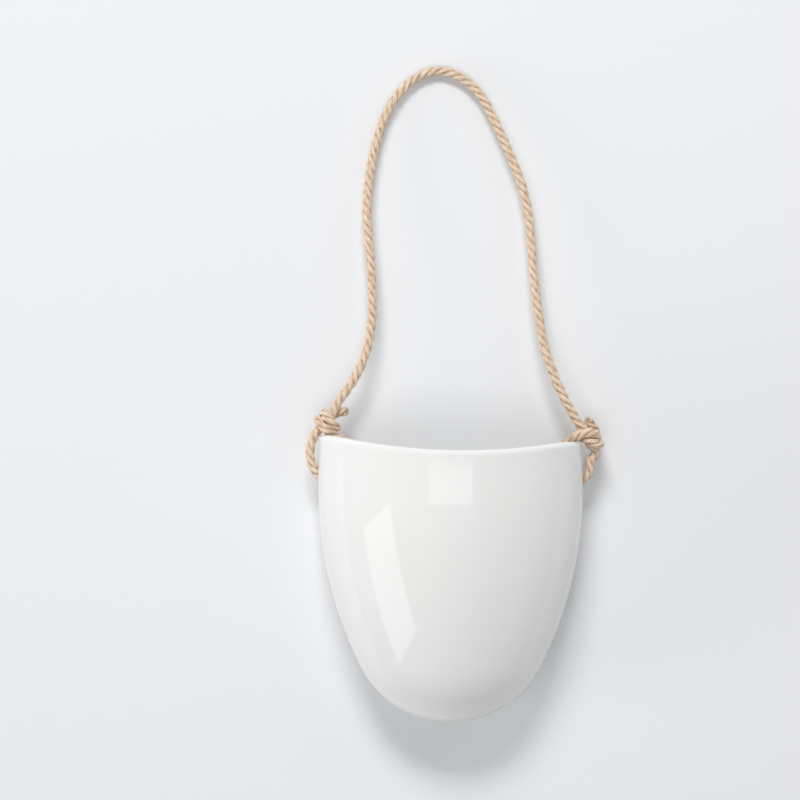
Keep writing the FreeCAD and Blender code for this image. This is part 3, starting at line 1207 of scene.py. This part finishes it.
@dataclass
class Hitch:
    """The rope's way at one side of the pot, from the free rope to its cut end.

    Points are in mm, in the order that the rope runs: down its core and
    outside the pot, in through the hole, up inside, and over the rim again in
    turns round the core. The rope gives where it is pulled tight, so the turns
    lie closer than the solid tubes do.
    """

    core: list[Point]
    through: list[Point]
    inside: list[Point]
    turns: list[Point]
    tail: list[Point]

    def points(self) -> list[Vector]:
        """List all the hitch's points, from the free rope to the cut end.

        Returns:
            The points, in mm.
        """
        runs = (self.core, self.through, self.inside, self.turns, self.tail)
        return [Vector(point) for run in runs for point in run]


@dataclass
class Rope:
    """Three-strand jute rope: a free loop to hang by, hitched to the pot at both ends."""

    diameter: float = 5.0
    lay: float = 16.0
    sides: int = 20
    step: float = 0.6
    strand_fill: float = 1.06  # the strands press into each other
    painted_shade_from: float = 0.93  # of the rope's radius, inside which painted shade between the strands starts
    # painted shade: how fast it deepens inwards, and how much more lies between yarns
    painted_shade_reach: float = 0.55
    yarn_painted_shade: float = 0.3
    # painted shade mark at the middle of a cut end
    cut_end_shade: float = 0.7
    map_shift: float = 400.0  # mm from strand to strand, so that no two match
    yarns: Yarns = field(default_factory=Yarns)
    fuzz: Fuzz = field(default_factory=Fuzz)
    brush: Brush = field(default_factory=Brush)
    free_route: list[Point] = field(
        default_factory=lambda: [
            (-53.8, -20.0, -176.9),
            (-46.9, -19.2, -168.3),
            (-40.2, -18.0, -156.2),
            (-35.9, -16.5, -141.5),
            (-34.6, -14.8, -122.5),
            (-36.0, -12.4, -98.5),
            (-38.4, -10.0, -73.0),
            (-36.8, -8.5, -56.2),
            (-34.1, -7.0, -40.6),
            (-29.5, -5.5, -24.8),
            (-23.3, -4.4, -12.8),
            (-13.5, -3.4, -1.8),
            (0.0, -2.8, 3.8),
            (14.1, -3.3, -0.9),
            (24.0, -4.2, -10.6),
            (31.0, -5.4, -24.2),
            (38.8, -7.0, -41.7),
            (45.9, -8.5, -59.1),
            (49.6, -10.2, -77.5),
            (51.0, -12.1, -98.1),
            (53.1, -14.2, -121.8),
            (56.7, -16.4, -145.0),
            (61.2, -17.8, -159.6),
            (65.9, -18.8, -170.6),
            (70.4, -19.6, -179.4),
        ]
    )
    left: Hitch = field(
        default_factory=lambda: Hitch(
            core=[
                (-56.1, -20.5, -182.9),
                (-59.2, -20.3, -188.3),
                (-64.4, -20.0, -191.9),
                (-67.4, -19.7, -197.3),
                (-68.6, -19.0, -203.6),
                (-67.6, -18.0, -209.7),
                (-65.2, -17.3, -214.6),
            ],
            through=[(-61.6, -17.0, -217.6), (-55.6, -17.0, -215.2)],
            inside=[
                (-52.6, -17.4, -208.5),
                (-49.8, -19.0, -202.1),
                (-50.2, -21.5, -197.2),
            ],
            turns=[
                (-55.4, -24.0, -194.4),
                (-59.6, -25.3, -191.7),
                (-62.4, -25.0, -188.4),
                (-64.2, -21.8, -186.0),
                (-63.2, -17.5, -186.0),
                (-60.0, -15.2, -188.0),
                (-56.4, -15.8, -190.1),
                (-54.0, -18.9, -191.1),
                (-54.0, -22.8, -190.2),
                (-56.2, -25.3, -187.8),
                (-59.2, -25.0, -184.7),
                (-61.1, -21.8, -182.5),
                (-60.2, -17.4, -182.4),
                (-56.2, -15.1, -183.4),
            ],
            tail=[(-52.4, -15.6, -182.3), (-48.7, -17.6, -181.6)],
        )
    )
    right: Hitch = field(
        default_factory=lambda: Hitch(
            core=[
                (75.3, -19.3, -187.4),
                (79.0, -18.7, -193.4),
                (80.9, -19.4, -198.3),
                (84.1, -19.8, -201.3),
                (85.6, -19.6, -204.2),
                (82.2, -18.9, -207.2),
                (82.2, -18.3, -211.8),
                (81.0, -17.6, -216.2),
            ],
            through=[(76.4, -17.0, -219.2), (70.2, -17.0, -217.4)],
            inside=[
                (66.6, -17.4, -211.0),
                (65.5, -19.3, -204.4),
                (67.1, -22.2, -199.5),
            ],
            turns=[
                (70.9, -24.9, -197.0),
                (75.1, -27.2, -194.3),
                (80.0, -27.2, -192.6),
                (84.0, -24.7, -193.2),
                (85.3, -20.3, -194.6),
                (84.1, -16.2, -195.2),
                (80.6, -13.9, -195.7),
                (76.5, -14.9, -195.4),
                (74.1, -18.3, -195.0),
                (75.2, -21.9, -194.8),
                (79.1, -24.0, -196.2),
                (82.3, -25.4, -198.3),
                (85.3, -23.8, -199.0),
                (87.1, -19.7, -199.2),
                (86.6, -14.5, -198.6),
            ],
            tail=[
                (85.9, -11.1, -195.6),
                (85.2, -10.6, -192.2),
                (83.4, -12.3, -189.2),
                (80.6, -14.4, -186.4),
            ],
        )
    )
    length: float = 0.406
    seed: int = 11

    def __post_init__(self) -> None:
        """Work out the strands' size from the rope's."""
        share = self.strand_fill / (1 + 2 / math.sqrt(3))
        self.strand_radius = share * self.diameter / 2
        self.strand_reach = self.diameter / 2 - self.strand_radius

    def middle_line(self) -> np.ndarray:
        """Lay the whole rope as one smooth line and read points from it.

        Returns:
            Points along the rope's middle, evenly spaced, in metres.
        """
        points = list(reversed(self.left.points()))
        points += [Vector(p) for p in self.free_route]
        points += self.right.points()
        data = bpy.data.curves.new("rope_route", "CURVE")
        data.dimensions = "3D"
        data.resolution_u = 24
        spline = data.splines.new("NURBS")
        spline.points.add(len(points) - 1)
        for spot, point in zip(spline.points, points):
            spot.co = (*(point * MM), 1.0)
        spline.order_u = 3
        spline.use_endpoint_u = True
        route = bpy.data.objects.new("rope_route", data)
        bpy.context.scene.collection.objects.link(route)
        bpy.context.view_layer.update()
        line = bpy.data.meshes.new_from_object(route)
        spots = np.array([v.co for v in line.vertices])
        bpy.data.objects.remove(route)
        bpy.data.meshes.remove(line)
        bpy.data.curves.remove(data)
        run = np.concatenate(
            [[0], np.cumsum(np.linalg.norm(np.diff(spots, axis=0), axis=1))]
        )
        count = int(run[-1] / (self.step * MM))
        even = np.linspace(0, run[-1], count + 1)
        return np.column_stack([np.interp(even, run, spots[:, i]) for i in range(3)])

    def lay_strands(self, line: np.ndarray) -> Lay:
        """Lay the three strands round the rope's middle line.

        The cross directions are carried along the line without twisting.

        Args:
            line: the points along the middle.

        Returns:
            How the rope lies.
        """
        along = np.gradient(line, axis=0)
        along /= np.linalg.norm(along, axis=1, keepdims=True)
        across = np.empty_like(along)
        first = np.cross(along[0], (0.0, 0.0, 1.0))
        across[0] = first / np.linalg.norm(first)
        for i in range(1, len(line)):
            carried = across[i - 1] - along[i] * np.dot(across[i - 1], along[i])
            across[i] = carried / np.linalg.norm(carried)
        upright = np.cross(along, across)
        spots = np.arange(len(line)) * self.step
        strands = []
        for strand in range(3):
            turn = -math.tau * (spots / self.lay + strand / 3)
            out = across * np.cos(turn)[:, None] + upright * np.sin(turn)[:, None]
            strands.append(line + out * (self.strand_reach * MM))
        return Lay(line, along, across, upright, strands)

    def skin_strand(
        self, mesh: bmesh.types.BMesh, lay: Lay, number: int, span: Span
    ) -> None:
        """Skin one strand with rings of points, each marked with its painted shade down between the strands
        and yarns.

        Args:
            mesh: the mesh that it goes into.
            lay: how the rope lies.
            number: which strand it is.
            span: the stretch of rope.
        """
        depth = mesh.verts.layers.float["depth"]
        strand = lay.strands[number]
        along = np.gradient(strand, axis=0)
        along /= np.linalg.norm(along, axis=1, keepdims=True)
        outward = strand - lay.line
        outward -= along * np.sum(outward * along, axis=1, keepdims=True)
        outward /= np.linalg.norm(outward, axis=1, keepdims=True)
        beside = np.cross(along, outward)
        radius = self.strand_radius * MM
        rings = []
        for i in range(span.first, span.last + 1):
            ring = []
            for side in range(self.sides):
                angle = math.tau * side / self.sides
                share, yarn = self.yarns.shape_at(angle, i * self.step, number)
                size = radius * share
                place = (
                    strand[i]
                    + outward[i] * math.cos(angle) * size
                    + beside[i] * math.sin(angle) * size
                )
                vertex = mesh.verts.new(place)
                # painted shade mark: points sunk between the strands, or between two yarns, get the darker
                # groove brown
                off = np.linalg.norm(place - lay.line[i]) / MM / (self.diameter / 2)
                painted_shade = (self.painted_shade_from - off) / self.painted_shade_reach
                painted_shade += self.yarn_painted_shade * max(-yarn, 0.0)
                vertex[depth] = min(max(painted_shade, 0.0), 1.0)
                ring.append(vertex)
            rings.append(ring)
        self.join_rings(mesh, rings, span.first, number)
        if span.cut_first:
            self.close_end(mesh, rings[0][::-1], strand[span.first])
        if span.cut_last:
            self.close_end(mesh, rings[-1], strand[span.last])

    def join_rings(
        self,
        mesh: bmesh.types.BMesh,
        rings: list[list[bmesh.types.BMVert]],
        first: int,
        number: int,
    ) -> None:
        """Join a strand's rings with faces, mapped so that fibres follow the yarns.

        Args:
            mesh: the mesh that they go into.
            rings: the rings of points.
            first: the first ring's point along the rope.
            number: which strand it is.
        """
        fibres = mesh.loops.layers.uv["fibres"]
        around = math.tau * self.strand_radius
        lean = -around / self.yarns.pitch
        for i, (low, high) in enumerate(zip(rings, rings[1:])):
            run = (first + i) * self.step + self.map_shift * number
            end = run + self.step
            for side in range(self.sides):
                after = (side + 1) % self.sides
                face = mesh.faces.new((low[side], low[after], high[after], high[side]))
                face.smooth = True
                u, v = around * side / self.sides, around * (side + 1) / self.sides
                spots = (
                    (u + run * lean, run),
                    (v + run * lean, run),
                    (v + end * lean, end),
                    (u + end * lean, end),
                )
                for loop, spot in zip(face.loops, spots):
                    loop[fibres].uv = spot

    def close_end(
        self,
        mesh: bmesh.types.BMesh,
        ring: list[bmesh.types.BMVert],
        place: np.ndarray,
    ) -> None:
        """Close a strand's cut end with a fan of faces, painted darker with shade in its middle.

        Args:
            mesh: the mesh that they go into.
            ring: the last ring of points, anticlockwise from outside.
            place: the fan's middle.
        """
        middle = mesh.verts.new(place)
        # painted shade: the cut end's middle is marked darker, like the grooves
        middle[mesh.verts.layers.float["depth"]] = self.cut_end_shade
        for one, other in zip(ring, ring[1:] + ring[:1]):
            map_flat(mesh, mesh.faces.new((one, other, middle)))

    def stretch(self, name: str, lay: Lay, span: Span) -> bpy.types.Object:
        """Make one piece of the rope.

        Args:
            name: the piece's name.
            lay: how the rope lies.
            span: the stretch of rope.

        Returns:
            The piece.
        """
        chance = random.Random(self.seed + span.first)
        mesh = bmesh.new()
        mesh.loops.layers.uv.new("fibres")
        # "depth" carries the painted shade mark between strands and yarns
        mesh.verts.layers.float.new("depth")
        mesh.verts.layers.float.new("loose")
        for number in range(len(lay.strands)):
            self.skin_strand(mesh, lay, number, span)
        self.fuzz.scatter(mesh, lay, span, self, chance)
        for is_cut, index, sense in (
            (span.cut_first, span.first, -1),
            (span.cut_last, span.last, 1),
        ):
            if is_cut:
                ends = [strand[index] for strand in lay.strands]
                way = sense * lay.along[index]
                self.brush.stand(mesh, ends, way, self.strand_radius, chance)
        data = bpy.data.meshes.new(name)
        mesh.to_mesh(data)
        mesh.free()
        piece = bpy.data.objects.new(name, data)
        bpy.context.scene.collection.objects.link(piece)
        return piece

    def build(self) -> list[bpy.types.Object]:
        """Make the rope's three pieces and tell the frame what they are.

        Returns:
            The free rope and the two hitches.
        """
        line = self.middle_line()
        lay = self.lay_strands(line)
        ends = [np.array(self.free_route[i]) * MM for i in (0, -1)]
        left, right = (
            int(np.argmin(np.linalg.norm(line - end, axis=1))) for end in ends
        )
        last = len(line) - 1
        left_hitch = self.stretch("left_hitch_rope", lay, Span(0, left, cut_first=True))
        free = self.stretch("free_rope_loop", lay, Span(left, right))
        right_hitch = self.stretch(
            "right_hitch_rope", lay, Span(right, last, cut_last=True)
        )
        jute = JuteRope().material()
        for piece in (left_hitch, free, right_hitch):
            piece.data.materials.append(jute)
        for piece, node in ((left_hitch, "left_hitch"), (right_hitch, "right_hitch")):
            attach(piece, "pot")
            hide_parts(node)
        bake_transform(free, "pot", "hanger", start=(0, 0, -0.1762), end=(0, 0, -0.158))
        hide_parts("free_rope")
        return [free, left_hitch, right_hitch]


# ----------------------------------------------------------------------- main


def main() -> None:
    """Build the planter and its studio in order, and report each piece."""
    logging.basicConfig(level=logging.INFO, format="%(name)s: %(message)s")
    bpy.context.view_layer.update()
    studio = Studio()
    studio.set_camera()
    pieces = Rope().build()
    pieces.append(Pot().build())
    studio.build_wall()
    studio.light()
    for piece in pieces:
        faces = sum(len(p.vertices) - 2 for p in piece.data.polygons)
        LOG.info("%s: %d triangles", piece.name, faces)


if __name__ == "__main__":
    main()
